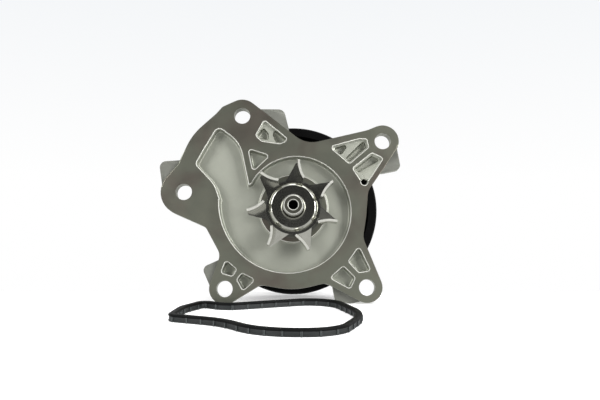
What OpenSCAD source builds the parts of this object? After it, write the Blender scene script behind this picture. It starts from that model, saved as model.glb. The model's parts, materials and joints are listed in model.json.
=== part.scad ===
/* [Housing] */
// Diameter of the five mounting bolt holes
bolt_d = 9; // [7:0.1:9.5]
// Thickness of the mounting ears
ear_t = 8; // [7:0.5:10]
// Distance from the mounting face to the back of the housing disc
plate_t = 11; // [10.5:0.5:12]
// Depth of the impeller chamber below the mounting face
chamber_depth = 6.5; // [5.5:0.1:7.5]
// Depth of the lightening pockets in the mounting face
pocket_depth = 6; // [3:0.5:7]
// Level of the five cast lugs below the mounting face
lug_level = 3; // [1:0.5:5]
// Outer diameter of the bearing boss
boss_d = 39; // [36:0.5:44]
// Distance from the mounting face to the end of the bearing boss
boss_end = 42; // [38:0.5:44]
// Number of gussets between the boss and the disc
gussets = 6; // [3:1:8]

/* [Shaft and bearing] */
// Diameter of the shaft where the impeller is pressed on
stub_d = 11.4; // [10:0.1:12.4]
// Diameter of the shaft in the bearing and at the pulley
shaft_d = 15.92; // [15:0.01:16]
// Reach of the shaft in front of the mounting face
shaft_front = 14; // [12:0.5:18]
// Distance from the mounting face to the pulley end of the shaft
shaft_back = 57; // [57:0.5:64]
// Diameter of the centre hole in the impeller end of the shaft
centre_hole_d = 4.9; // [3:0.1:6]
// Outer diameter of the bearing
bearing_d = 30; // [29:0.1:31]
// Start of the bearing behind the mounting face
bearing_y = 20; // [19.5:0.5:21]
// Length of the bearing
bearing_len = 26; // [25.5:0.5:26.5]
// Number of balls in the front row
balls = 8; // [6:1:8]
// Number of rollers in the rear row
rollers = 10; // [8:1:11]

/* [Impeller] */
// Number of vanes
vanes = 7; // [5:1:9]
// Diameter over the vane tips
impeller_d = 50.4; // [46:0.2:51]
// Height of the vanes above the star plate
vane_h = 11; // [8:0.5:13]
// Thickness of the impeller sheet
sheet = 1.3; // [1:0.1:1.6]
// Outer diameter of the drawn hub cup
hub_cup_d = 26.8; // [26:0.1:27.2]

/* [Pulley] */
// Outer diameter of the pulley
pulley_d = 94.8; // [90:0.2:100]
// Distance from the mounting face to the near rim of the pulley
pulley_y = 13.5; // [13:0.5:14]
// Number of belt grooves
grooves = 6; // [5:1:6]
// Pitch of the belt grooves
groove_pitch = 3.56; // [3.4:0.01:3.6]
// Number of tool holes in the pulley web
tool_holes = 4; // [3:1:6]

/* [Gasket] */
// Height of the gasket section
gasket_h = 3.8; // [3:0.1:5]
// Width of the gasket section
gasket_w = 3.4; // [2.5:0.1:5]
// Slope of the surface that the pump and gasket lie on, in degrees
floor_slope = 8; // [6:0.5:10]

/* [Hidden] */
$fn = 96;
eps = 0.5;

// Running clearance between parts that turn against each other
run = 0.05;

// Mounting ears: hole centre and ear radius, counter-clockwise from the upper right
ear_upper_right = [49.8, 37.2, 9];
ear_top = [-28.6, 51.5, 9.3];
ear_left = [-60.5, 8.6, 12.8];
ear_lower_left = [-37.5, -44.7, 8.4];
ear_lower_right = [40.4, -43.9, 8.4];
ears = [ear_upper_right, ear_top, ear_left, ear_lower_left, ear_lower_right];

// Outline of the mounting face as circles that a tight band wraps; a negative radius is a hollow
face_outline = [
    ear_upper_right, [38.3, 53, -10], [10.5, 51, -14.4],
    ear_top, [-37.8, 54.2, 3], [-46, 55.5, -4], [-28, 20, 34.4], [-66.5, 25.8, -3],
    ear_left, [-51.8, -14.7, -5], [-46.8, -26.6, -6.3],
    ear_lower_left, [-16.5, -48.7, -6], [-1, 0, 44.7], [16.8, -48.3, -6.5],
    ear_lower_right, [47.6, -15.5, -9], [0, 0, 40.5], [49.2, 6.5, -8]
];

// Cast lugs beside the ears, each a band around circles
lugs = [
    [[49.6, 21.8, 2], [56.7, 24.2, 3], [55.4, 33.5, 2.7], [48, 32, 2]],
    [[-8.4, 52, 3.9], [-20, 53, 3], [-18, 42, 3], [-4.5, 40, 3]],
    [[-71, 22.8, 3.5], [-70, 13, 3], [-58, 14, 3], [-58, 24.2, 3]],
    [[-46.2, -34.5, 3.1], [-43, -42, 3], [-36, -36, 3], [-38.6, -30.4, 2.5]],
    [[22.6, -43.5, 1], [24, -50, 1.2], [31.3, -51.4, 1.3], [37, -50, 1.5], [34, -42, 2]]
];

// Port lobe of the chamber, a band around circles
port_outline = [
    [-46, 26, 17.9], [-41.2, 41.2, 2.8], [-15.1, 14.3, 39],
    [-51.3, 24.6, 2.3], [-57.5, 4.5, -16], [-30, -1.5, 8]
];

// The chamber wall is a spiral that starts at the tongue and opens clockwise
spiral_start = 150;
spiral_turn = 336;
function spiral_r(turn) = 26.6 + 0.025 * turn + 0.000055 * turn * turn;

// Lightening pockets, by their sharp corners, counter-clockwise
pocket_corner = 1.2;
pockets = [
    [[-24.9, 32.7], [-22.4, 20.4], [-13.4, 29]],
    [[-16.9, 45.6], [-20.2, 40.6], [-18.5, 38.6], [-13.6, 38], [-13.8, 42]],
    [[-10.6, 44.4], [-11.6, 41], [-9.8, 36.6], [-4.8, 36.8], [-3.8, 38.6]],
    [[31.6, 36.3], [22, 33.6], [26.6, 29.4]],
    [[40.2, 37.1], [38.4, 37.2], [28.9, 27.9], [31.2, 25.6], [40.9, 34]],
    [[43.8, 29.6], [34, 22], [35.8, 19.6], [48.8, 26.9]],
    [[36.1, -21.8], [30.4, -29.7], [36, -35.6], [42.2, -34.6]],
    [[27.5, -32.4], [20.4, -38.7], [31, -44.4], [33.7, -38.7]],
    [[-36.8, -29.3], [-39.4, -35.8], [-33.4, -37.6], [-31.1, -34.1]],
    [[-28, -36.3], [-30.6, -39.6], [-27.4, -45.5], [-21.2, -39.8]]
];
// Shallow steps around the pockets below the top ear and beside the upper right ear
pocket_steps = [
    [[-16.2, 48.9], [-20.8, 40.4], [-17.6, 37.4], [-7.4, 35.9], [-3.2, 38]],
    [[40.8, 38.3], [36.6, 38.4], [20.6, 33.9], [31.2, 24.7], [41.7, 33.8]],
    [[43.8, 30.4], [33.1, 21.9], [37.3, 15.5], [41.5, 15], [49.8, 27.6]]
];
pocket_step_depth = 2;

// Raised ring around the seal in the chamber
seal_land_d = 38;
seal_land_y = 5;
drain_hole = [39.4, 14.4, 1.8];
seal_bore_d = 30;
seal_bore_end = 14.5;
weep_chamber_d = 25;
weep_hole_d = 4;
weep_y = 17.5;

// Bearing rows
row_r = 10.45;
ball_r = 2.9;
ball_y = 26;
roller_r = 2.4;
roller_len = 8;
roller_y = 34.5;
race_gap = 0.1;
ring_bore_r = 12.95;
bearing_end = bearing_y + bearing_len;

pulley_rim_w = 25;
groove_depth = 2.9;
rim_wall = 1.8;
hub_r = 11;

// Unit vector and its quarter turn, in the plane
function unit(v) = v / norm(v);
function quarter(v) = [-v.y, v.x];

// Direction of the normal to the straight run between two band circles
function run_normal(a, b) =
    let (d = [b.x - a.x, b.y - a.y]) atan2(d.y, d.x) + acos((b[2] - a[2]) / norm(d));
function positive(angle) = angle - 360 * floor(angle / 360);

// Points of a tight band around circles [x, y, radius], taken counter-clockwise
arc_step = 12;
arc_chord = 2.2;
function band(circles) = let (n = len(circles)) [
    for (i = [0 : n - 1])
        let (
            c = circles[i],
            first = run_normal(circles[(i + n - 1) % n], c),
            last = run_normal(c, circles[(i + 1) % n]),
            turn = c[2] > 0 ? positive(last - first) : -positive(first - last),
            arc = abs(turn * c[2]) * PI / 180,
            steps = max(1, ceil(abs(turn) / arc_step), ceil(arc / arc_chord))
        )
        for (k = [0 : steps])
            let (a = first + turn * k / steps) [c.x - c[2] * cos(a), c.y - c[2] * sin(a)]
];

// Circles that round the corners of a convex outline
function corner_circles(points, r) = let (n = len(points)) [
    for (i = [0 : n - 1])
        let (
            p = points[i],
            before = quarter(unit(p - points[(i + n - 1) % n])),
            after = quarter(unit(points[(i + 1) % n] - p)),
            c = p + r * (before + after) / (1 + before * after)
        )
        [c.x, c.y, r]
];
function grown(circles, by) = [for (c = circles) [c.x, c.y, c[2] + by]];

// Front-view outline, X right and Z up, extruded from y0 back to y1
module slab(y0, y1) {
    translate([0, y1, 0]) rotate([90, 0, 0]) linear_extrude(y1 - y0) children();
}

// Profile of radius against Y, turned about the shaft axis
module turned() {
    rotate([-90, 0, 0]) rotate_extrude() children();
}

// Cylinder along the shaft axis from y0 to y1
module rod(r, y0, y1) {
    translate([0, y0, 0]) rotate([-90, 0, 0]) cylinder(r = r, h = y1 - y0);
}

module ring(r_in, r_out, y0, y1) {
    turned() translate([r_in, y0]) square([r_out - r_in, y1 - y0]);
}

// Copies set around the shaft axis, counter-clockwise from the front
module around(count, first = 0) {
    for (i = [0 : count - 1]) rotate([0, -(first + 360 * i / count), 0]) children();
}

module chamber_outline() {
    polygon([
        for (turn = [0 : 6 : spiral_turn])
            let (a = spiral_start - turn) spiral_r(turn) * [cos(a), sin(a)]
    ]);
}

module chamber() {
    difference() {
        union() {
            slab(-eps, chamber_depth) chamber_outline();
            slab(-eps, chamber_depth) polygon(band(port_outline));
        }
        rod(seal_land_d / 2, seal_land_y, chamber_depth + eps);
    }
}

module gusset() {
    gusset_t = 4;
    translate([0, 0, -gusset_t / 2]) linear_extrude(gusset_t)
        polygon([[15.5, ear_t], [36.5, ear_t], [36.5, plate_t + 0.5], [19, 33], [15.5, 33]]);
}

module pump_body() {
    color("#8f9088") difference() {
        union() {
            slab(0, ear_t) polygon(band(face_outline));
            for (lug = lugs) slab(lug_level, ear_t) polygon(band(lug));
            rod(37.6, ear_t - eps, plate_t);
            rod(boss_d / 2, ear_t, boss_end);
            around(gussets, 0) gusset();
        }
        chamber();
        for (pocket = pockets)
            slab(-eps, pocket_depth) polygon(band(corner_circles(pocket, pocket_corner)));
        for (step = pocket_steps)
            slab(-eps, pocket_step_depth) polygon(band(corner_circles(step, pocket_corner)));
        for (ear = ears)
            translate([ear.x, 0, ear.y]) rod(bolt_d / 2, -eps, ear_t + eps);
        translate([drain_hole.x, 0, drain_hole.y]) rod(drain_hole[2], -eps, plate_t + eps);
        rod(seal_bore_d / 2, -eps, seal_bore_end);
        rod(weep_chamber_d / 2, seal_bore_end - eps, bearing_y);
        rod(bearing_d / 2, bearing_y, boss_end + eps);
        translate([0, weep_y, -boss_d / 2 - eps]) cylinder(d = weep_hole_d, h = boss_d / 2);
    }
}

// Snap-in cap in the mouth of the weep hole, with a drain slot
module weep_cap() {
    cap_r = 3.2;
    slot = 1.2;
    color("#2b2b2b") translate([0, weep_y, -boss_d / 2 - 1]) difference() {
        union() {
            cylinder(r = cap_r, h = 0.97);
            cylinder(d = weep_hole_d - 0.04, h = 4.5);
        }
        translate([-slot / 2, -cap_r - eps, -eps]) cube([slot, 2 * cap_r + 2 * eps, 0.5 + eps]);
    }
}

module bearing_outer_ring() {
    color("#a9abab") difference() {
        ring(ring_bore_r, bearing_d / 2, bearing_y, bearing_end);
        turned() translate([row_r, ball_y]) circle(r = ball_r + race_gap);
    }
}

// Rubber lip seal with an open groove at each face
module bearing_seal(y) {
    seal_t = 1.4;
    color("#202020") turned() polygon([
        [shaft_d / 2 + run, y + 0.4], [9.4, y], [ring_bore_r - 0.6, y], [ring_bore_r, y + 0.3],
        [ring_bore_r, y + seal_t], [9.8, y + seal_t], [shaft_d / 2 + run, y + 0.9]
    ]);
}

module front_bearing_seal() {
    bearing_seal(bearing_y + 0.5);
}

module rear_bearing_seal() {
    bearing_seal(bearing_end - 1.9);
}

module pump_shaft() {
    chamfer = 0.7;
    shoulder_y = 18.6;
    color("#b9bbbb") difference() {
        turned() polygon([
            [0, -shaft_front], [stub_d / 2 - chamfer, -shaft_front],
            [stub_d / 2, -shaft_front + chamfer], [stub_d / 2, shoulder_y - 2],
            [shaft_d / 2, shoulder_y], [shaft_d / 2, shaft_back - 1],
            [shaft_d / 2 - 1, shaft_back], [0, shaft_back]
        ]);
        rod(centre_hole_d / 2, -shaft_front - eps, -shaft_front + 14);
        turned() polygon([
            [0, -shaft_front - eps], [centre_hole_d / 2 + 0.9, -shaft_front - eps],
            [centre_hole_d / 2, -shaft_front + 0.4], [0, -shaft_front + 0.4]
        ]);
        turned() translate([row_r, ball_y]) circle(r = ball_r + race_gap);
    }
}

module front_balls() {
    color("#c4c6c8") around(balls) translate([row_r, ball_y, 0]) sphere(r = ball_r);
}

module front_ball_cage() {
    color("#b08d4a") difference() {
        ring(9.6, 11.3, ball_y - 3.6, ball_y + 1);
        around(balls) translate([row_r - ball_r, ball_y, 0]) rotate([0, 90, 0])
            cylinder(r = ball_r + race_gap, h = 2 * ball_r);
    }
}

module rear_rollers() {
    color("#c4c6c8") around(rollers)
        translate([row_r, roller_y, 0]) rotate([-90, 0, 0]) cylinder(r = roller_r, h = roller_len);
}

module rear_roller_cage() {
    end_ring = 1.2;
    color("#b08d4a") difference() {
        ring(9.9, 11, roller_y - end_ring, roller_y + roller_len + end_ring);
        around(rollers) translate([row_r, roller_y - run, 0]) rotate([-90, 0, 0])
            cylinder(r = roller_r + race_gap, h = roller_len + 2 * run);
    }
}

// One arm of the star, swept back towards its tip, with the vane bent up along one edge
module vane_arm() {
    sweep_back = 7;
    root = 12;
    tip_r = impeller_d / 2;
    curve_r = 19;
    tip = [tip_r, -0.5];
    foot = [15, -4.2];
    chord = tip - foot;
    middle = (tip + foot) / 2;
    centre = middle - sqrt(curve_r * curve_r - (chord * chord) / 4) * quarter(unit(chord));
    first = atan2(foot.y - centre.y, foot.x - centre.x);
    last = atan2(tip.y - centre.y, tip.x - centre.x);
    steps = 8;
    edge = [for (k = [0 : steps]) let (a = first + (last - first) * k / steps) [cos(a), sin(a)]];
    translate([root, 0, 0]) rotate([0, 0, sweep_back]) translate([-root, 0, 0])
        slab(-sheet, 0) polygon(concat(
            [for (e = edge) centre + curve_r * e],
            [[tip_r - 0.6, 0.5], [18.4, 3.2], [12.4, 6], [11.5, 0], [12, -4.4]]
        ));
    slab(-vane_h, sheet / 4) polygon(concat(
        [for (k = [0 : steps]) centre + curve_r * edge[k]],
        [for (k = [steps : -1 : 0]) centre + (curve_r - sheet) * edge[k]]
    ));
}

module impeller() {
    cup_r = hub_cup_d / 2;
    bore_r = stub_d / 2;
    cup_front = 4;
    first_vane = 34.3;
    color("#9a9b9b") {
        turned() polygon([
            [bore_r, -cup_front + 1.2], [bore_r + 0.5, -cup_front + 0.3], [bore_r + 1.4, -cup_front],
            [cup_r - 1.9, -cup_front], [cup_r - 0.7, -cup_front + 0.5], [cup_r, -cup_front + 1.5],
            [cup_r, -sheet], [cup_r + 1.6, -sheet], [cup_r + 1.6, 0], [cup_r - sheet, 0],
            [cup_r - sheet, -cup_front + sheet], [bore_r + sheet, -cup_front + sheet],
            [bore_r + sheet, 3], [bore_r, 3]
        ]);
        around(vanes, first_vane) vane_arm();
    }
}

module seal_case() {
    case_r = seal_bore_d / 2;
    wall = 0.8;
    color("#b7a26a") turned() polygon([
        [case_r, seal_land_y], [16.3, seal_land_y], [16.3, seal_land_y - wall],
        [case_r - wall, seal_land_y - wall], [case_r - wall, seal_bore_end - wall],
        [9.4, seal_bore_end - wall], [9.4, seal_bore_end], [case_r, seal_bore_end]
    ]);
}

// Rubber sleeve with one fold, closed onto the case at the back and the carbon ring at the front
module seal_bellows() {
    back = seal_bore_end - 0.8;
    color("#1d1d1d") turned() polygon([
        [8.6, 6], [10.2, 6], [10.2, 8.5], [11.3, 9.7], [10.2, 11], [10.2, back - 1],
        [13.6, back - 1], [13.6, back], [8.8, back], [8.8, 11], [9.9, 9.7], [8.6, 8.4]
    ]);
}

// Round wire wound on a helix, closed at both ends
module seal_spring() {
    coils = 4;
    per_turn = 18;
    sides = 8;
    wire_r = 0.5;
    mean_r = 12.6;
    y0 = 6.8;
    pitch = (seal_bore_end - 2.5 - y0) / coils;
    rings = coils * per_turn;
    points = [
        for (i = [0 : rings]) let (a = 360 * i / per_turn, y = y0 + pitch * i / per_turn)
            for (j = [0 : sides - 1]) let (b = 360 * j / sides, r = mean_r + wire_r * cos(b))
                [r * cos(a), y + wire_r * sin(b), r * sin(a)]
    ];
    skin = [
        for (i = [0 : rings - 1]) for (j = [0 : sides - 1]) let (k = (j + 1) % sides)
            [i * sides + j, i * sides + k, (i + 1) * sides + k, (i + 1) * sides + j]
    ];
    ends = [
        [for (j = [sides - 1 : -1 : 0]) j],
        [for (j = [0 : sides - 1]) rings * sides + j]
    ];
    color("#b3b5b7") polyhedron(points, concat(skin, ends));
}

module seal_carbon_ring() {
    nose = 3 + run;
    color("#2e2f31") turned() polygon([
        [9, nose], [10.8, nose], [10.8, 4], [13, 4], [13, 6], [8.4, 6], [8.4, 4.6], [9, 4.2]
    ]);
}

module seal_mating_ring() {
    color("#5d5f62") ring(8.5, 11.6, -1.1, 3);
}

// Rubber seat between the mating ring and the impeller hub
module mating_ring_boot() {
    seat_r = stub_d / 2 + sheet;
    color("#1d1d1d") turned() polygon([
        [seat_r, -2.7], [11.6, -2.7], [11.6, -1.1], [8.5, -1.1], [8.5, 2.4], [seat_r, 2.4]
    ]);
}

module slinger() {
    bore_r = stub_d / 2;
    color("#a5a7a8") turned() polygon([
        [bore_r, 15.4], [bore_r + 0.9, 15.4], [bore_r + 0.9, 16.1], [10.6, 17.2], [10.6, 18],
        [bore_r + 0.9, 16.9], [bore_r, 16.5]
    ]);
}

module pulley_hub() {
    color("#8a8c8c") turned() polygon([
        [shaft_d / 2, 47.2], [hub_r, 47.2], [hub_r, 51], [15, 51], [15, 53],
        [hub_r, 53.6], [hub_r, 55.6], [hub_r - 0.6, 56.2], [shaft_d / 2, 56.2]
    ]);
}

// Belt rim with V grooves between two flanges, and a web dished away from the housing
module pulley() {
    rim_r = pulley_d / 2;
    crest_r = rim_r - 0.9;
    root_r = crest_r - groove_depth;
    inner_r = root_r - rim_wall;
    rim_end = pulley_y + pulley_rim_w;
    grooves_y = pulley_y + (pulley_rim_w - grooves * groove_pitch) / 2;
    groove_profile = [
        for (i = [0 : grooves - 1]) let (y = grooves_y + i * groove_pitch)
            for (p = [[crest_r, 0.35], [root_r, 1.4], [root_r, 2.16], [crest_r, 3.21]])
                [p.x, y + p.y]
    ];
    color("#151515") difference() {
        turned() polygon(concat(
            [[inner_r + 0.8, pulley_y], [rim_r - 0.6, pulley_y], [rim_r, pulley_y + 0.6]],
            [[rim_r, grooves_y - 0.4]],
            groove_profile,
            [[rim_r, rim_end - 1.4], [rim_r, rim_end - 0.6], [rim_r - 0.6, rim_end]],
            [[39, rim_end], [19, 51], [hub_r, 51], [hub_r, 48], [18.2, 48], [37.6, 36]],
            [[inner_r, 36], [inner_r, pulley_y + 0.8]]
        ));
        around(tool_holes, 45) translate([28, 0, 0]) rod(5.5, 36, 54);
    }
}

// Upright ribs across both walls of the gasket, spaced along its centre line
module nubs(path) {
    rib_t = 0.9;
    rib_w = gasket_w + 0.8;
    spacing = 9;
    count = len(path);
    for (i = [0 : count - 1]) {
        from = path[i];
        to = path[(i + 1) % count];
        gap = norm(to - from);
        angle = atan2(to.y - from.y, to.x - from.x);
        along_run = [for (s = [spacing / 2 : spacing : gap - 2]) s];
        places = gap > spacing ? along_run : (i % 4 == 0 ? [gap / 2] : []);
        for (s = places) translate(from + s * unit(to - from)) rotate(angle)
            translate([-rib_t / 2, -rib_w / 2, 0]) cube([rib_t, rib_w, gasket_h]);
    }
}

// Moulded loop lying on the standing surface in front of the pump
module housing_gasket() {
    floor_z = -53.1;
    loop = [
        [2, -64.3, 33], [5.5, -75.8, 21.5], [-26.6, -50, 60], [8.5, -20.6, 18.5],
        [-33.5, -10, -8], [-46.3, -16.8, 5.3], [-28.5, -38, 30],
        [-52.5, -52.5, 7.5], [-61, -101.5, -40]
    ];
    color("#242628") translate([0, 0, floor_z]) rotate([floor_slope, 0, 0]) {
        linear_extrude(gasket_h) difference() {
            polygon(band(loop));
            polygon(band(grown(loop, -gasket_w)));
        }
        nubs(band(grown(loop, -gasket_w / 2)));
    }
}

pump_body();
weep_cap();
bearing_outer_ring();
front_bearing_seal();
rear_bearing_seal();
pump_shaft();
front_balls();
front_ball_cage();
rear_rollers();
rear_roller_cage();
impeller();
seal_case();
seal_bellows();
seal_spring();
seal_carbon_ring();
seal_mating_ring();
mating_ring_boot();
slinger();
pulley_hub();
pulley();
housing_gasket();
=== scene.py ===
"""Engine coolant pump with its loose housing gasket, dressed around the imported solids."""

from __future__ import annotations

import json
import logging
import math
from dataclasses import dataclass
from enum import Enum
from typing import Any, ClassVar, Sequence

import bmesh
import bpy
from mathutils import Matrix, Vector

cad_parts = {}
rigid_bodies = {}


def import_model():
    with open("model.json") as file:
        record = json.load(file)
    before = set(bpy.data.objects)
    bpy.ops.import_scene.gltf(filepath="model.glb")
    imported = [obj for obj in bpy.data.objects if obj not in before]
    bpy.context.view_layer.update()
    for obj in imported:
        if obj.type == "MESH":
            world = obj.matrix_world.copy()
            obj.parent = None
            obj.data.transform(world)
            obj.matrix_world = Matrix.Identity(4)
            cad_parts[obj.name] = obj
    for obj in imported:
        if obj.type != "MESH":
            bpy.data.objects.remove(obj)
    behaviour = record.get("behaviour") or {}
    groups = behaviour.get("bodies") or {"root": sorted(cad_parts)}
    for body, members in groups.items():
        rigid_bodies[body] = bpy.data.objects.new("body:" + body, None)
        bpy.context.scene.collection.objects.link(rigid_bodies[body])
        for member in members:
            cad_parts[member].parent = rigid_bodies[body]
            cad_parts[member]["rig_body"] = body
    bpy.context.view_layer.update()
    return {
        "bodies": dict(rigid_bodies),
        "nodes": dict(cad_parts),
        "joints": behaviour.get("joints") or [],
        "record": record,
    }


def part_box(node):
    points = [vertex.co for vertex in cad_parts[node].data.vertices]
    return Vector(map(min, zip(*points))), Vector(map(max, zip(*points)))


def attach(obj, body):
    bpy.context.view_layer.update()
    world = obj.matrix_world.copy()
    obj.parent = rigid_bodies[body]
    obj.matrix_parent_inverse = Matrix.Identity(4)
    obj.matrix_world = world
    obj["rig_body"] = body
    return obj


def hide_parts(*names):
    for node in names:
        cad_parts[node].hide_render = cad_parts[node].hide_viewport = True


MM = 0.001
# Faces this close to a plane count as on it.
SLACK = 0.002 * MM
# Cosine above which a face looks the way that is asked.
SAME_WAY = 0.97
FRONT = Vector((0, -1, 0))
LOG = logging.getLogger("pump")
# Scale that makes a wave texture's rings one unit apart.
RINGS_PER_UNIT_SCALE = 0.32

# The surface that the pump and the gasket lie on: it passes this far below the shaft axis in the
# plane of the mounting face, and rises towards the pulley by this slope.
FLOOR_DROP = 53.1 * MM
FLOOR_SLOPE = math.radians(8.0)


# ---------------------------------------------------------------- materials


def linear(hex_code: str) -> tuple[float, float, float, float]:
    """Turn an sRGB hex colour into linear RGBA.

    Args:
        hex_code: six hex digits, with or without a leading hash.

    Returns:
        Red, green and blue in linear light, with an alpha of 1.
    """
    digits = hex_code.lstrip("#")
    channels = [int(digits[i : i + 2], 16) / 255 for i in (0, 2, 4)]
    r, g, b = (c / 12.92 if c <= 0.04045 else ((c + 0.055) / 1.055) ** 2.4 for c in channels)
    return r, g, b, 1.0


def add_node(
    tree: bpy.types.NodeTree,
    kind: str,
    settings: dict[str, Any] | None = None,
    links: dict[str, bpy.types.NodeSocket] | None = None,
) -> bpy.types.Node:
    """Add a node with its settings and the links into it.

    Args:
        tree: the node tree that the node goes into.
        kind: the node's type, such as "ShaderNodeTexNoise".
        settings: values by input name, or by attribute where no input has that name.
        links: output sockets by the name of the input that each one feeds.

    Returns:
        The new node.
    """
    node = tree.nodes.new(kind)
    for key, value in (settings or {}).items():
        if key in node.inputs:
            node.inputs[key].default_value = value
        else:
            setattr(node, key, value)
    for key, socket in (links or {}).items():
        tree.links.new(socket, node.inputs[key])
    return node


@dataclass(frozen=True)
class Finish:
    """A metal, coat or rubber whose colour drifts between two tones and whose surface has grain.

    The tones are sRGB hex values. Sizes in millimetres are those of the patches that colour and
    gloss follow, of the grain and its depth, and of the stains, if the finish has a stain's tone.
    """

    name: str
    tone: str
    second_tone: str
    metallic: float
    roughness: float
    roughness_drift: float = 0.08
    patch_mm: float = 14.0
    grain_mm: float = 0.5
    grain_bump: float = 0.1
    grain_depth_mm: float = 0.02
    specular: float = 0.5
    stain: str = ""
    stain_mm: float = 30.0

    def material(self) -> bpy.types.Material:
        """Build the material once.

        Returns:
            The material, or the one already built under the finish's name.
        """
        made = bpy.data.materials.get(self.name)
        if made is not None:
            return made
        made = bpy.data.materials.new(self.name)
        made.use_nodes = True
        tree = made.node_tree
        shader = tree.nodes["Principled BSDF"]
        shader.inputs["Metallic"].default_value = self.metallic
        shader.inputs["Specular IOR Level"].default_value = self.specular
        place = add_node(tree, "ShaderNodeTexCoord")
        patches = self.patches(tree, place.outputs["Object"])
        colour = add_node(tree, "ShaderNodeMix", {"data_type": "RGBA"})
        colour.inputs[6].default_value = linear(self.tone)
        colour.inputs[7].default_value = linear(self.second_tone)
        tree.links.new(patches, colour.inputs["Factor"])
        if self.stain:
            colour = self.stained(tree, place.outputs["Object"], colour)
        tree.links.new(colour.outputs[2], shader.inputs["Base Color"])
        rough = add_node(
            tree,
            "ShaderNodeMapRange",
            {
                "To Min": self.roughness - self.roughness_drift,
                "To Max": self.roughness + self.roughness_drift,
            },
            {"Value": patches},
        )
        tree.links.new(rough.outputs["Result"], shader.inputs["Roughness"])
        bump = add_node(
            tree,
            "ShaderNodeBump",
            {"Strength": self.grain_bump, "Distance": self.grain_depth_mm * MM},
            {"Height": self.grain(tree, place.outputs["Object"])},
        )
        tree.links.new(bump.outputs["Normal"], shader.inputs["Normal"])
        return made

    def stained(
        self, tree: bpy.types.NodeTree, place: bpy.types.NodeSocket, under: bpy.types.Node
    ) -> bpy.types.Node:
        """Lay soft-edged islands of the stain's tone over a colour.

        Args:
            tree: the material's node tree.
            place: the Object coordinates.
            under: the mix node that gives the colour below the stain.

        Returns:
            The mix node that gives the stained colour.
        """
        noise = add_node(
            tree,
            "ShaderNodeTexNoise",
            {"Scale": 1 / (self.stain_mm * MM), "Detail": 3.0, "Distortion": 0.4},
            {"Vector": place},
        )
        cover = add_node(
            tree,
            "ShaderNodeMapRange",
            {"From Min": 0.46, "From Max": 0.66, "To Max": 0.8},
            {"Value": noise.outputs["Fac"]},
        )
        over = add_node(tree, "ShaderNodeMix", {"data_type": "RGBA"})
        over.inputs[7].default_value = linear(self.stain)
        tree.links.new(under.outputs[2], over.inputs[6])
        tree.links.new(cover.outputs["Result"], over.inputs["Factor"])
        return over

    def patches(
        self, tree: bpy.types.NodeTree, place: bpy.types.NodeSocket
    ) -> bpy.types.NodeSocket:
        """Add broad cloudy patches.

        Args:
            tree: the material's node tree.
            place: the Object coordinates.

        Returns:
            A value from 0 to 1 that the colour and the gloss follow.
        """
        noise = add_node(
            tree,
            "ShaderNodeTexNoise",
            {"Scale": 1 / (self.patch_mm * MM), "Detail": 4.0, "Roughness": 0.6},
            {"Vector": place},
        )
        return noise.outputs["Fac"]

    def grain(
        self, tree: bpy.types.NodeTree, place: bpy.types.NodeSocket
    ) -> bpy.types.NodeSocket:
        """Add the fine grain.

        Args:
            tree: the material's node tree.
            place: the Object coordinates.

        Returns:
            The grain's height, from 0 to 1.
        """
        noise = add_node(
            tree,
            "ShaderNodeTexNoise",
            {"Scale": 1 / (self.grain_mm * MM), "Detail": 3.0},
            {"Vector": place},
        )
        return noise.outputs["Fac"]


@dataclass(frozen=True)
class MilledFinish(Finish):
    """A face cut by a large milling head: faint arcs of one radius cross it."""

    arc_centre_mm: tuple[float, float] = (-160.0, -60.0)
    # Real arcs are finer. They are drawn as coarse as they need to be to show.
    arc_pitch_mm: float = 0.9

    def grain(
        self, tree: bpy.types.NodeTree, place: bpy.types.NodeSocket
    ) -> bpy.types.NodeSocket:
        """Add the cutter's arcs, as rings about a point far off the part.

        Args:
            tree: the material's node tree.
            place: the Object coordinates.

        Returns:
            The arcs' height, from 0 to 1.
        """
        x, z = self.arc_centre_mm
        centred = add_node(
            tree,
            "ShaderNodeMapping",
            {"Location": (-x * MM, 0.0, -z * MM)},
            {"Vector": place},
        )
        rings = add_node(
            tree,
            "ShaderNodeTexWave",
            {
                "wave_type": "RINGS",
                "rings_direction": "Y",
                "Scale": RINGS_PER_UNIT_SCALE / (self.arc_pitch_mm * MM),
                "Distortion": 0.6,
                "Detail": 2.0,
                "Detail Scale": 2.0,
            },
            {"Vector": centred.outputs["Vector"]},
        )
        return rings.outputs["Fac"]


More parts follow.
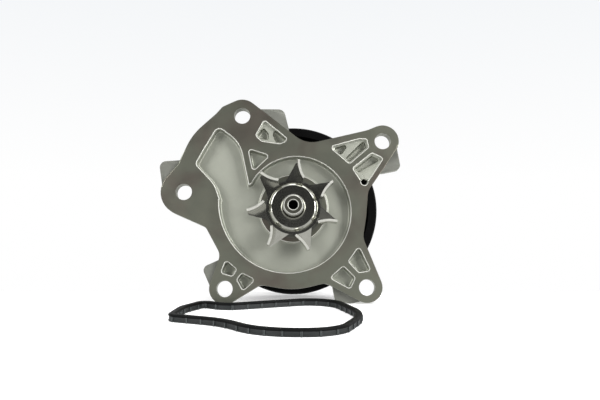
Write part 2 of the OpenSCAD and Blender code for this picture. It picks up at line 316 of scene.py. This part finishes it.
class Metal(Enum):
    """The pump's metal finishes."""

    # Die-cast aluminium skin: pale satin grey with a fine grain and soft flow patches.
    CAST = Finish("die_cast_aluminium", "#a3a59a", "#919389", 0.75, 0.5, 0.06, 16, 0.45, 0.35)
    # The same casting's outer lugs, rougher, and painted darker as painted shade:
    # they catch light that the chamber walls keep off the chamber floor.
    SKIN = Finish("lug_painted_shade", "#72736c", "#5e5f59", 0.6, 0.62, 0.06, 12, 0.6, 0.5)
    # Face-milled aluminium: darker, glossier grey with brownish stains and cutter arcs.
    MILLED = MilledFinish(
        "milled_aluminium", "#979b8d", "#868578", 1.0, 0.34, 0.06, 13, 0.9, 0.12, stain="#80776f"
    )
    # Chamfers cut by a tool: bright cut aluminium, with a painted highlight on top of it, a
    # near-white tone, so that each edge shows a thin bright line under any light.
    CUT_EDGE = Finish("cut_edge_painted_highlight", "#f0f0ea", "#dcdcd5", 0.45, 0.35, 0.05, 3, 0.2, 0.1)
    # Cold-rolled steel sheet, pressed and left bright: it mirrors what is round it.
    PRESSED = Finish("bright_pressed_sheet", "#b8b8b0", "#a5a59c", 1.0, 0.17, 0.04, 5, 0.3, 0.06)
    # Sheared edges of the sheet, matt and light, painted lighter as a painted highlight; the same
    # painted highlight lines the rounded edges of the shaft and the hub.
    SHEARED = Finish("steel_edge_painted_highlight", "#c2c2bb", "#94948c", 0.5, 0.45, 0.06, 1.2, 0.2, 0.25)
    # The shaft's end face: a near-black copy of the ground steel, painted shade for the dark that
    # the face mirrors in front of it.
    DULLED = Finish("shaft_end_painted_shade", "#4a4a42", "#3c3c36", 0.8, 0.45, 0.06, 2, 0.2, 0.15)
    # Ground bearing steel: smooth and bright.
    GROUND = Finish("ground_bearing_steel", "#b5b5b0", "#a2a29d", 1.0, 0.22, 0.04, 4, 0.15, 0.06)
    # Turned and phosphated hub steel: darker, with a soft shine.
    HUB = Finish("turned_hub_steel", "#7c7d7c", "#66686a", 1.0, 0.42, 0.06, 6, 0.3, 0.15)
    # Drawn steel of the seal case: satin, a little warm.
    SEAL = Finish("drawn_seal_steel", "#8b8c84", "#77786f", 1.0, 0.35, 0.05, 6, 0.3, 0.1)


class Coat(Enum):
    """The pump's dark finishes: coats, rubbers, carbon and plastics."""

    # Black electro-coat on the pulley: thin, even, slightly glossy.
    PULLEY = Finish(
        "black_electrocoat", "#010101", "#030303", 0.0, 0.4, 0.06, 18, 0.6, 0.12, specular=0.1
    )
    # Moulded rubber of the gasket's walls: dark blue-grey, dull.
    GASKET = Finish("moulded_gasket_rubber", "#101414", "#1c2121", 0.0, 0.5, 0.08, 9, 0.35, 0.3)
    # The bead on its top, blacker and duller than the walls.
    BEAD = Finish(
        "gasket_sealing_bead", "#020303", "#060707", 0.0, 0.6, 0.08, 9, 0.35, 0.25, specular=0.12
    )
    # Rounded edges of its ribs: painted highlight, a paler tone of the same rubber.
    RIB = Finish("rib_edge_painted_highlight", "#4b5050", "#343939", 0.0, 0.5, 0.08, 2, 0.35, 0.2)
    # Nitrile rubber of the lip seals and bellows: near black, matt.
    NITRILE = Finish("nitrile_rubber", "#1a1a1b", "#252527", 0.0, 0.58, 0.06, 5, 0.3, 0.2)
    # Lapped seal carbon, dark with a soft gloss, and the glossier grey silicon carbide.
    CARBON = Finish("lapped_seal_carbon", "#26272a", "#323337", 0.1, 0.35, 0.05, 4, 0.2, 0.05)
    CARBIDE = Finish("lapped_silicon_carbide", "#55585c", "#484b50", 0.1, 0.25, 0.05, 4, 0.2, 0.04)
    # Glass-filled polyamide of the cages: straw-coloured, dull.
    POLYAMIDE = Finish("glass_filled_polyamide", "#b79a66", "#a68a58", 0.0, 0.55, 0.06, 4, 0.3, 0.2)
    # Inside of the shaft's centre hole, near black: painted shade, for the hole's own shadow.
    BORE = Finish(
        "centre_hole_painted_shade", "#0b0a08", "#050505", 0.0, 0.7, 0.05, 3, 0.3, 0.1, specular=0.2
    )
    # Moulded plastic of the weep hole cap: black, satin.
    CAP = Finish("moulded_cap_plastic", "#1d1d1d", "#282828", 0.0, 0.5, 0.05, 3, 0.25, 0.2)


# ------------------------------------------------------------ mesh handling


def pick(obj: bpy.types.Object) -> None:
    """Select one object only, and make it the active one.

    Args:
        obj: the object.
    """
    bpy.ops.object.select_all(action="DESELECT")
    obj.hide_set(False)
    obj.select_set(True)
    bpy.context.view_layer.objects.active = obj


def apply_modifier(obj: bpy.types.Object, kind: str, **settings: Any) -> None:
    """Add a modifier of a kind with its settings, and apply it.

    Args:
        obj: the mesh object.
        kind: the modifier's type, such as "BEVEL".
        settings: the modifier's attributes by name.
    """
    pick(obj)
    modifier = obj.modifiers.new(kind.lower(), kind)
    for key, value in settings.items():
        setattr(modifier, key, value)
    bpy.ops.object.modifier_apply(modifier=modifier.name)


def smooth(obj: bpy.types.Object, angle: float = 50.0) -> None:
    """Shade the object smooth, except across edges sharper than an angle in degrees."""
    pick(obj)
    bpy.ops.object.shade_smooth_by_angle(angle=math.radians(angle))


class CadCopy:
    """A merged copy of a CAD node, shaped further and shown in its place."""

    # A rim wider across than this is the housing's own outline.
    outline_mm: ClassVar[float] = 150.0

    def __init__(self, frame: dict[str, Any], node: str, name: str) -> None:
        """Copy the node's mesh and merge its loose triangles into clean faces.

        Args:
            frame: the loaded frame.
            node: the CAD node's name.
            name: the copy's name.
        """
        self.node = node
        self.plain_holes: list[Vector] = []
        self.body = frame["nodes"][node]["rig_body"]
        self.obj = bpy.data.objects.new(name, frame["nodes"][node].data.copy())
        bpy.context.scene.collection.objects.link(self.obj)
        self.obj.data.materials.clear()
        pick(self.obj)
        bpy.ops.object.mode_set(mode="EDIT")
        bpy.ops.mesh.select_all(action="SELECT")
        bpy.ops.mesh.remove_doubles(threshold=0.002 * MM)
        bpy.ops.mesh.dissolve_limited(angle_limit=math.radians(0.4))
        bpy.ops.object.mode_set(mode="OBJECT")

    def finishes(self, *finishes: Finish) -> None:
        """Give the copy its material slots, in order."""
        for finish in finishes:
            self.obj.data.materials.append(finish.material())

    def paint(self, slot: int, low: Vector, high: Vector, normal: Vector | None = None) -> None:
        """Give a material slot to the faces whose centre is in a box.

        Args:
            slot: the material slot.
            low: the box's lowest corner.
            high: the box's highest corner.
            normal: the way that the faces look, if only some of them are meant.
        """
        for face in self.obj.data.polygons:
            inside = all(low[i] - SLACK <= face.center[i] <= high[i] + SLACK for i in range(3))
            if inside and (normal is None or face.normal.dot(normal) > SAME_WAY):
                face.material_index = slot

    def slope_rims(
        self, depth_mm: float, width_mm: float, rise_mm: float, slot: int, plain_slot: int = -1
    ) -> None:
        """Slope the rims of the forward-looking flat faces that lie at one depth.

        The rim is a strip inside the faces' outline. Its outer edge slides along the wall beside
        it, backwards into a cut edge or forwards into a fillet at the foot of the wall.

        Args:
            depth_mm: how far behind the mounting face the flat faces lie.
            width_mm: width of the strip.
            rise_mm: how far the strip's outer edge slides, positive towards the pulley.
            slot: material slot of the strips.
            plain_slot: material slot of the strips round the outline and the bolt holes, if those
                stay flat.
        """
        pick(self.obj)
        bpy.ops.object.mode_set(mode="EDIT")
        bpy.ops.mesh.select_mode(type="FACE")
        bpy.ops.mesh.select_all(action="DESELECT")
        mesh = bmesh.from_edit_mesh(self.obj.data)
        level = depth_mm * MM

        def at_level(face: bmesh.types.BMFace) -> bool:
            """Tell whether a face lies flat at the depth and looks forward."""
            flat = all(abs(vert.co.y - level) < 0.01 * MM for vert in face.verts)
            return flat and face.normal.dot(FRONT) > 0.99

        for face in mesh.faces:
            face.select_set(at_level(face))
        bpy.ops.mesh.inset(thickness=width_mm * MM, depth=0.0, use_even_offset=True)
        bpy.ops.mesh.region_to_loop()
        bpy.ops.mesh.mark_sharp(clear=rise_mm < 0)
        mesh = bmesh.from_edit_mesh(self.obj.data)
        inner = {vert for vert in mesh.verts if vert.select}
        rims = [
            face
            for face in mesh.faces
            if at_level(face)
            and any(vert in inner for vert in face.verts)
            and not all(vert in inner for vert in face.verts)
        ]
        outer = {vert for face in rims for vert in face.verts if vert not in inner}
        plain: list[bmesh.types.BMFace] = []
        for patch in self.patches_of(rims):
            if plain_slot >= 0 and self.is_plain(patch):
                plain.extend(patch)
            for face in patch:
                face.material_index = plain_slot if face in plain else slot
        fixed = {vert for face in plain for vert in face.verts}
        for vert in outer - fixed:
            vert.co.y += rise_mm * MM
        bmesh.update_edit_mesh(self.obj.data)
        bpy.ops.object.mode_set(mode="OBJECT")

    @staticmethod
    def patches_of(faces: Sequence[bmesh.types.BMFace]) -> list[list[bmesh.types.BMFace]]:
        """Split faces into patches that hang together by their edges.

        Args:
            faces: the faces to split.

        Returns:
            The patches, each a list of faces.
        """
        left = set(faces)
        patches = []
        while left:
            queue = [left.pop()]
            patch = []
            while queue:
                face = queue.pop()
                patch.append(face)
                for edge in face.edges:
                    for other in edge.link_faces:
                        if other in left:
                            left.remove(other)
                            queue.append(other)
            patches.append(patch)
        return patches

    def is_plain(self, patch: Sequence[bmesh.types.BMFace]) -> bool:
        """Tell whether a rim runs round the whole outline or a bolt hole.

        Args:
            patch: the rim's faces.

        Returns:
            True if the rim is one that stays flat.
        """
        points = [face.calc_center_median() for face in patch]
        lows = Vector([min(p[i] for p in points) for i in range(3)])
        highs = Vector([max(p[i] for p in points) for i in range(3)])
        if (highs - lows).length > self.outline_mm * MM:
            return True
        middle = (lows + highs) / 2
        return any(
            math.hypot(middle.x - hole.x, middle.z - hole.z) < 1.0 * MM for hole in self.plain_holes
        )

    def bevel(self, width_mm: float, segments: int = 2, slot: int = -1) -> None:
        """Round every edge sharper than 35 degrees.

        Args:
            width_mm: width of the rounding.
            segments: faces across it.
            slot: its material slot, or -1 for that of the faces beside it.
        """
        apply_modifier(
            self.obj,
            "BEVEL",
            width=width_mm * MM,
            segments=segments,
            limit_method="ANGLE",
            angle_limit=math.radians(35),
            material=slot,
            use_clamp_overlap=True,
            miter_outer="MITER_ARC",
        )

    def settle(self) -> bpy.types.Object:
        """Smooth the copy, let it stand for its node, and ride on the node's body.


        Returns:
            The finished object.
        """
        smooth(self.obj)
        apply_modifier(self.obj, "WEIGHTED_NORMAL", mode="FACE_AREA", weight=100, keep_sharp=True)
        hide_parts(self.node)
        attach(self.obj, self.body)
        return self.obj


# ------------------------------------------------------------- the pieces


@dataclass
class Housing:
    """The die-cast housing: milled face, cast chamber, lugs and back, with cut edges.

    Depths are behind the mounting face.
    """

    frame: dict[str, Any]
    face_edge_mm: float = 0.5
    lug_depth_mm: float = 3.0
    land_depth_mm: float = 5.0
    land_edge_mm: float = 0.35
    floor_fillet_mm: float = 1.0
    floor_depths_mm: tuple[float, ...] = (6.5, 6.0)

    def build(self) -> bpy.types.Object:
        """Make the housing shell from the CAD body and dress it.

        Returns:
            The housing shell.
        """
        copy = CadCopy(self.frame, "pump_body", "housing_shell")
        copy.finishes(
            Metal.CAST.value, Metal.MILLED.value, Metal.CUT_EDGE.value, Metal.SKIN.value
        )
        cast, milled, cut_edge_highlight, shaded_lugs = range(4)
        self.paint_level(copy, milled, 0.0)
        # Painted shade: the lugs' faces get the darker copy of the casting.
        self.paint_level(copy, shaded_lugs, self.lug_depth_mm)
        copy.plain_holes = self.bolt_holes()
        # Painted highlight over bright cut metal on the milled face's edges.
        copy.slope_rims(0.0, self.face_edge_mm, self.face_edge_mm, cut_edge_highlight, milled)
        self.paint_level(copy, milled, self.land_depth_mm)
        # Painted highlight over bright cut metal on the seal land's edge.
        copy.slope_rims(self.land_depth_mm, self.land_edge_mm, self.land_edge_mm, cut_edge_highlight)
        for depth in self.floor_depths_mm:
            copy.slope_rims(depth, self.floor_fillet_mm, -self.floor_fillet_mm, cast)
        return copy.settle()

    @staticmethod
    def paint_level(copy: CadCopy, slot: int, depth_mm: float) -> None:
        """Give a material slot to the forward-looking faces at one depth.

        Args:
            copy: the housing's copy.
            slot: the material slot.
            depth_mm: the faces' depth.
        """
        low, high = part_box("pump_body")
        level = low.y + depth_mm * MM
        copy.paint(slot, Vector((low.x, level, low.z)), Vector((high.x, level, high.z)), FRONT)

    def bolt_holes(self) -> list[Vector]:
        """Return the middles of the bolt holes, from the record's mounts."""
        return [
            Vector(mount["pos_m"])
            for mount in self.frame["record"]["mounts"]
            if mount["name"].startswith("bolt_")
        ]


@dataclass
class Rotor:
    """Impeller, shaft, hub and pulley: all that turns with the shaft."""

    frame: dict[str, Any]
    centre_hole_mm: float = 5.0
    hole_rim_mm: float = 0.3
    vane_edge_mm: float = 6.0

    def build(self) -> list[bpy.types.Object]:
        """Make the rotor's visible pieces.

        Returns:
            The impeller, the shaft, the pulley and the hub.
        """
        impeller = CadCopy(self.frame, "impeller", "impeller_star")
        impeller.finishes(Metal.PRESSED.value, Metal.SHEARED.value)
        low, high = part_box("impeller")
        # Painted highlight: the vanes' front edges get the light edge finish.
        impeller.paint(1, low, Vector((high.x, low.y + self.vane_edge_mm * MM, high.z)), FRONT)
        impeller.bevel(0.12, 1)
        shaft = CadCopy(self.frame, "pump_shaft", "shaft_bar")
        shaft.finishes(
            Metal.GROUND.value, Metal.SHEARED.value, Coat.BORE.value, Metal.DULLED.value
        )
        low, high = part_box("pump_shaft")
        # Painted shade: the shaft's end face gets the near-black steel.
        shaft.paint(3, low, Vector((high.x, low.y, high.z)), FRONT)
        # Painted highlight: the shaft's rounded edges get the light edge finish.
        shaft.bevel(0.2, 1, 1)
        # Painted shade: the centre hole goes near black from just behind its rim.
        reach = self.centre_hole_mm / 2 * MM
        hole_start = low.y + self.hole_rim_mm * MM
        shaft.paint(2, Vector((-reach, hole_start, -reach)), Vector((reach, high.y, reach)))
        pulley = CadCopy(self.frame, "pulley", "belt_pulley")
        pulley.finishes(Coat.PULLEY.value)
        pulley.bevel(0.3)
        hub = CadCopy(self.frame, "pulley_hub", "hub_collar")
        hub.finishes(Metal.HUB.value, Metal.SHEARED.value)
        # Painted highlight: the hub's rounded edges get the light edge finish.
        hub.bevel(0.3, 2, 1)
        return [
            impeller.settle(),
            shaft.settle(),
            pulley.settle(),
            hub.settle(),
        ]


@dataclass
class Gasket:
    """The loose moulded gasket: a waisted strip with a bead on top and upright ribs."""

    frame: dict[str, Any]
    # The loop as a tight band round circles, in the plane it lies in: across, along the slope and
    # radius, with a negative radius where the band bends inwards round the circle.
    circles_mm: tuple[tuple[float, float, float], ...] = (
        (2.0, -64.3, 33.0),
        (5.5, -75.8, 21.5),
        (-26.6, -50.0, 60.0),
        (8.5, -20.6, 18.5),
        (-33.5, -10.0, -8.0),
        (-46.3, -16.8, 5.3),
        (-28.5, -38.0, 30.0),
        (-52.5, -52.5, 7.5),
        (-61.0, -101.5, -40.0),
    )
    width_mm: float = 3.4
    height_mm: float = 3.8
    bead_mm: float = 1.3
    waist_mm: float = 0.35
    rib_proud_mm: float = 0.3
    rib_pitch_mm: float = 8.4
    # Share of the bead's height that a rib stops short by.
    rib_under_bead: float = 0.7
    rib_mm: float = 0.9
    rib_round_mm: float = 0.25
    step_mm: float = 1.0

    def build(self) -> bpy.types.Object:
        """Make the gasket's loop with its ribs, lying on the floor's slope.

        Returns:
            The gasket.
        """
        path = self.centre_line()
        loop = self.sweep(path)
        ribs = [self.rib(path, place) for place in self.rib_places(path)]
        bpy.ops.object.select_all(action="DESELECT")
        for piece in (*ribs, loop):
            piece.select_set(True)
        bpy.context.view_layer.objects.active = loop
        bpy.ops.object.join()
        loop.location = (0, 0, -FLOOR_DROP)
        loop.rotation_euler = (FLOOR_SLOPE, 0, 0)
        bpy.ops.object.transform_apply(location=True, rotation=True, scale=True)
        self.darken_bead(loop)
        smooth(loop, 40)
        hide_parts("housing_gasket")
        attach(loop, self.frame["nodes"]["housing_gasket"]["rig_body"])
        return loop

    def darken_bead(self, loop: bpy.types.Object) -> None:
        """Give the bead on top its blacker, duller tone.

        Args:
            loop: the gasket, lying on the floor.
        """
        bead = len(loop.data.materials)
        loop.data.materials.append(Coat.BEAD.value.material())
        up = Vector((0, -math.sin(FLOOR_SLOPE), math.cos(FLOOR_SLOPE)))
        floor = Vector((0, 0, -FLOOR_DROP))
        bead_start = (self.height_mm - self.bead_mm) * MM
        for face in loop.data.polygons:
            if (face.center - floor).dot(up) > bead_start:
                face.material_index = bead

    def centre_line(self) -> list[Vector]:
        """Draw the middle of the strip.

        Returns:
            Points at even steps along it, in metres.
        """
        inset = self.width_mm / 2
        circles = [(x, y, r - inset) for x, y, r in self.circles_mm]
        befores = circles[-1:] + circles[:-1]
        afters = circles[1:] + circles[:1]
        corners: list[Vector] = []
        for before, here, after in zip(befores, circles, afters):
            start = self.tangent(before, here)
            turn = (self.tangent(here, after) - start) % math.tau
            turn = turn if here[2] > 0 else turn - math.tau
            count = max(2, math.ceil(abs(turn * here[2]) / 0.5))
            for i in range(count + 1):
                angle = start + turn * i / count
                x = here[0] - here[2] * math.cos(angle)
                y = here[1] - here[2] * math.sin(angle)
                corners.append(Vector((x, y, 0)))
        return self.even_steps([corner * MM for corner in corners])

    @staticmethod
    def tangent(first: Sequence[float], second: Sequence[float]) -> float:
        """Angle of the straight run of the band from one circle to the next."""
        dx, dy = second[0] - first[0], second[1] - first[1]
        return math.atan2(dy, dx) + math.acos((second[2] - first[2]) / math.hypot(dx, dy))

    def even_steps(self, corners: Sequence[Vector]) -> list[Vector]:
        """Walk a closed line of points in even steps, about one step_mm each.

        Args:
            corners: the line's points.

        Returns:
            The evenly spaced points.
        """
        spans = [(b - a).length for a, b in zip(corners, [*corners[1:], corners[0]])]
        total = sum(spans)
        count = round(total / (self.step_mm * MM))
        points, index, walked = [], 0, 0.0
        for i in range(count):
            target = total * i / count
            while walked + spans[index] < target:
                walked += spans[index]
                index += 1
            nearer = corners[(index + 1) % len(corners)]
            part = (target - walked) / max(spans[index], 1e-9)
            points.append(corners[index].lerp(nearer, part))
        return points

    def section(self) -> list[tuple[float, float]]:
        """Draw the strip's section: a foot, a waist with a thin line on it, and a bead.

        Returns:
            Points across and up, in millimetres.
        """
        half, top = self.width_mm / 2, self.height_mm
        under_bead = top - self.bead_mm
        waist = half - self.waist_mm
        side = [
            (half - 0.5, 0.0), (half - 0.15, 0.1), (half, 0.4), (half - 0.05, 0.65), (waist, 0.8),
            (waist, 1.25), (waist + 0.12, 1.35), (waist + 0.12, 1.5), (waist, 1.6),
            (waist, under_bead - 0.1), (half - 0.1, under_bead + 0.05), (half, under_bead + 0.25),
            (half, top - 0.55), (half - 0.2, top - 0.2), (half - 0.55, top - 0.03),
            (half - 1.1, top),
        ]
        return side + [(-x, z) for x, z in reversed(side)]

    def sweep(self, path: Sequence[Vector]) -> bpy.types.Object:
        """Run the section round the path and turn the result into a mesh.

        Args:
            path: the points of the strip's middle.

        Returns:
            The loop, still level and with its foot at no height.
        """
        outline = bpy.data.curves.new("gasket_section", "CURVE")
        outline.dimensions = "2D"
        spline = outline.splines.new("POLY")
        section = self.section()
        spline.points.add(len(section) - 1)
        for point, (x, z) in zip(spline.points, section):
            point.co = (x * MM, z * MM, 0, 1)
        spline.use_cyclic_u = True
        profile = bpy.data.objects.new("gasket_section", outline)
        bpy.context.scene.collection.objects.link(profile)
        track = bpy.data.curves.new("gasket_loop", "CURVE")
        track.dimensions = "3D"
        track.twist_mode = "Z_UP"
        track.bevel_mode = "OBJECT"
        track.bevel_object = profile
        spline = track.splines.new("POLY")
        spline.points.add(len(path) - 1)
        for point, place in zip(spline.points, path):
            point.co = (*place, 1)
        spline.use_cyclic_u = True
        loop = bpy.data.objects.new("gasket_loop", track)
        bpy.context.scene.collection.objects.link(loop)
        pick(loop)
        bpy.ops.object.convert(target="MESH")
        loop = bpy.context.active_object
        bpy.data.objects.remove(profile)
        loop.data.materials.clear()
        loop.data.materials.append(Coat.GASKET.value.material())
        return loop

    def rib_places(self, path: Sequence[Vector]) -> list[int]:
        """Return the path's points that carry a rib."""
        pitch = round(self.rib_pitch_mm / self.step_mm)
        return list(range(0, len(path) - pitch // 2, pitch))

    def rib(self, path: Sequence[Vector], place: int) -> bpy.types.Object:
        """Make one rounded upright rib across the strip.

        Args:
            path: the points of the strip's middle.
            place: which point the rib stands at.

        Returns:
            The rib.
        """
        before, after = path[place - 1], path[(place + 1) % len(path)]
        heading = math.atan2(after.y - before.y, after.x - before.x)
        width = self.width_mm + 2 * self.rib_proud_mm
        height = self.height_mm - self.bead_mm * self.rib_under_bead
        bpy.ops.mesh.primitive_cube_add(
            size=1,
            location=path[place] + Vector((0, 0, height / 2 * MM)),
            rotation=(0, 0, heading),
            scale=(self.rib_mm * MM, width * MM, height * MM),
        )
        rib = bpy.context.active_object
        bpy.ops.object.transform_apply(location=True, rotation=True, scale=True)
        rib.data.materials.append(Coat.GASKET.value.material())
        rib.data.materials.append(Coat.RIB.value.material())
        # Painted highlight: the rib's rounded edges get the paler rubber.
        apply_modifier(
            rib, "BEVEL", width=self.rib_round_mm * MM, segments=2, limit_method="NONE", material=1
        )
        return rib


INNER_FINISHES: dict[str, Finish] = {
    "weep_cap": Coat.CAP.value,
    "bearing_outer_ring": Metal.GROUND.value,
    "front_bearing_seal": Coat.NITRILE.value,
    "rear_bearing_seal": Coat.NITRILE.value,
    "front_balls": Metal.GROUND.value,
    "front_ball_cage": Coat.POLYAMIDE.value,
    "rear_rollers": Metal.GROUND.value,
    "rear_roller_cage": Coat.POLYAMIDE.value,
    "seal_case": Metal.SEAL.value,
    "seal_bellows": Coat.NITRILE.value,
    "seal_spring": Metal.GROUND.value,
    "seal_carbon_ring": Coat.CARBON.value,
    "seal_mating_ring": Coat.CARBIDE.value,
    "mating_ring_boot": Coat.NITRILE.value,
    "slinger": Metal.PRESSED.value,
}


def dress_inner_nodes(frame: dict[str, Any]) -> None:
    """Give each CAD node that keeps its own mesh its finish.

    Args:
        frame: the loaded frame.
    """
    for node, finish in INNER_FINISHES.items():
        mesh = frame["nodes"][node].data
        mesh.materials.clear()
        mesh.materials.append(finish.material())


# ---------------------------------------------------------------- the set


@dataclass
class Camera:
    """The camera in front of the impeller, a little below the shaft and tilted up."""

    place_mm: tuple[float, float, float] = (0.16, -457.0, -50.7)
    yaw: float = 0.444
    tilt: float = 6.843
    lens_mm: float = 50.0
    sensor_mm: float = 36.0

    def build(self) -> None:
        """Make the camera and give it to the scene."""
        data = bpy.data.cameras.new("camera")
        data.lens = self.lens_mm
        data.sensor_width = self.sensor_mm
        data.clip_start = 0.01
        data.clip_end = 50.0
        camera = bpy.data.objects.new("camera", data)
        bpy.context.scene.collection.objects.link(camera)
        camera.location = Vector(self.place_mm) * MM
        camera.rotation_euler = (math.radians(90 + self.tilt), 0.0, -math.radians(self.yaw))
        bpy.context.scene.camera = camera


@dataclass
class Studio:
    """White floor and sky, with soft light from above and both sides.

    The floor rises as far back as crest_y_m and is level behind that.
    """

    floor_m: float = 6.0
    crest_y_m: float = 0.05

    def build(self) -> None:
        """Make the floor, the sky and the lights."""
        self.floor()
        self.sky()
        self.light("key_above", (0.2, -0.35, 0.95), (0.8, 0.5), 4.0)
        self.light("front_left", (-0.75, -0.75, 0.3), (0.4, 0.7), 8.0)
        self.light("front_right", (0.75, -0.75, 0.3), (0.4, 0.7), 13.0)
        bpy.context.scene.view_settings.view_transform = "Standard"

    def floor(self) -> None:
        """Make the white floor, which rises under the pump and is level behind it."""
        bpy.ops.object.select_all(action="DESELECT")
        crest_z = self.crest_y_m * math.tan(FLOOR_SLOPE) - FLOOR_DROP
        bpy.ops.mesh.primitive_plane_add(
            size=self.floor_m, location=(0, self.crest_y_m - self.floor_m / 2, crest_z)
        )
        floor = bpy.context.active_object
        floor.name = "floor"
        bpy.ops.object.transform_apply(location=True, rotation=False, scale=False)
        for vert in floor.data.vertices:
            vert.co.z -= (self.crest_y_m - vert.co.y) * math.tan(FLOOR_SLOPE)
        bpy.ops.object.mode_set(mode="EDIT")
        bpy.ops.mesh.select_mode(type="EDGE")
        bpy.ops.mesh.select_all(action="DESELECT")
        mesh = bmesh.from_edit_mesh(floor.data)
        for edge in mesh.edges:
            edge.select_set(all(vert.co.y > 0 for vert in edge.verts))
        bpy.ops.mesh.extrude_region_move(
            TRANSFORM_OT_translate={"value": (0, self.floor_m / 2, 0)}
        )
        bpy.ops.object.mode_set(mode="OBJECT")
        paper = bpy.data.materials.new("white_paper_floor")
        paper.use_nodes = True
        shader = paper.node_tree.nodes["Principled BSDF"]
        shader.inputs["Base Color"].default_value = linear("#e6e6e6")
        shader.inputs["Roughness"].default_value = 0.7
        shader.inputs["Emission Color"].default_value = linear("#ffffff")
        shader.inputs["Emission Strength"].default_value = 0.4
        floor.data.materials.append(paper)
        floor.visible_glossy = False

    def sky(self) -> None:
        """Make the surroundings: dim in front of the pump, bright behind, above and beside it."""
        world = bpy.data.worlds.new("studio")
        bpy.context.scene.world = world
        world.use_nodes = True
        tree = world.node_tree
        tree.nodes.clear()
        place = add_node(tree, "ShaderNodeTexCoord")
        axes = add_node(tree, "ShaderNodeSeparateXYZ", None, {0: place.outputs["Generated"]})
        # Bright behind the pump, and in front of it only below the edge of the floor and high up.
        behind = self.ramp(tree, axes.outputs["Y"], -0.15, 0.4, 0.0, 0.9)
        below = self.ramp(tree, axes.outputs["Z"], 0.05, -0.12, 0.0, 0.95)
        above = self.ramp(tree, axes.outputs["Z"], 0.35, 0.8, 0.03, 0.9)
        high_or_low = add_node(
            tree, "ShaderNodeMath", {"operation": "MAXIMUM"}, {0: below, 1: above}
        )
        strength = add_node(
            tree,
            "ShaderNodeMath",
            {"operation": "MAXIMUM"},
            {0: high_or_low.outputs[0], 1: behind},
        )
        lit = add_node(
            tree,
            "ShaderNodeBackground",
            {"Color": linear("#ffffff")},
            {"Strength": strength.outputs[0]},
        )
        height = add_node(
            tree,
            "ShaderNodeMapRange",
            {"From Min": 0.14, "From Max": 0.36},
            {"Value": axes.outputs["Z"]},
        )
        paper = add_node(tree, "ShaderNodeMix", {"data_type": "RGBA"})
        paper.inputs[6].default_value = linear("#ffffff")
        paper.inputs[7].default_value = linear("#f4f6f8")
        tree.links.new(height.outputs["Result"], paper.inputs["Factor"])
        seen = add_node(tree, "ShaderNodeBackground", None, {"Color": paper.outputs[2]})
        path = add_node(tree, "ShaderNodeLightPath")
        both = add_node(
            tree,
            "ShaderNodeMixShader",
            None,
            {0: path.outputs["Is Camera Ray"], 1: lit.outputs[0], 2: seen.outputs[0]},
        )
        add_node(tree, "ShaderNodeOutputWorld", None, {"Surface": both.outputs[0]})

    @staticmethod
    def ramp(
        tree: bpy.types.NodeTree,
        value: bpy.types.NodeSocket,
        start: float,
        end: float,
        low: float,
        high: float,
    ) -> bpy.types.NodeSocket:
        """Make a smooth ramp.

        Args:
            tree: the node tree.
            value: what the ramp reads.
            start: the value at which the ramp starts.
            end: the value at which it ends.
            low: what it gives up to its start.
            high: what it gives from its end on.

        Returns:
            The socket that gives the ramp's height.
        """
        ramp = add_node(
            tree,
            "ShaderNodeMapRange",
            {
                "interpolation_type": "SMOOTHSTEP",
                "From Min": start,
                "From Max": end,
                "To Min": low,
                "To Max": high,
            },
            {"Value": value},
        )
        return ramp.outputs["Result"]

    def light(
        self,
        name: str,
        place: tuple[float, float, float],
        size: tuple[float, float],
        watts: float,
    ) -> None:
        """Hang a rectangular softbox that faces the pump.

        Args:
            name: the light's name.
            place: its centre, in metres.
            size: its width and height, in metres.
            watts: its power.
        """
        data = bpy.data.lights.new(name, "AREA")
        data.shape = "RECTANGLE"
        data.size, data.size_y = size
        data.energy = watts
        lamp = bpy.data.objects.new(name, data)
        bpy.context.scene.collection.objects.link(lamp)
        lamp.location = place
        lamp.rotation_euler = (-Vector(place)).to_track_quat("-Z", "Y").to_euler()


def main() -> None:
    """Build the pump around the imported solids, then the set, and report each piece."""
    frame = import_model()
    Camera().build()
    made = [Housing(frame).build(), *Rotor(frame).build(), Gasket(frame).build()]
    dress_inner_nodes(frame)
    Studio().build()
    for piece in made:
        LOG.info("%s: %d faces", piece.name, len(piece.data.polygons))


if __name__ == "__main__":
    logging.basicConfig(level=logging.INFO, format="%(name)s: %(message)s")
    main()
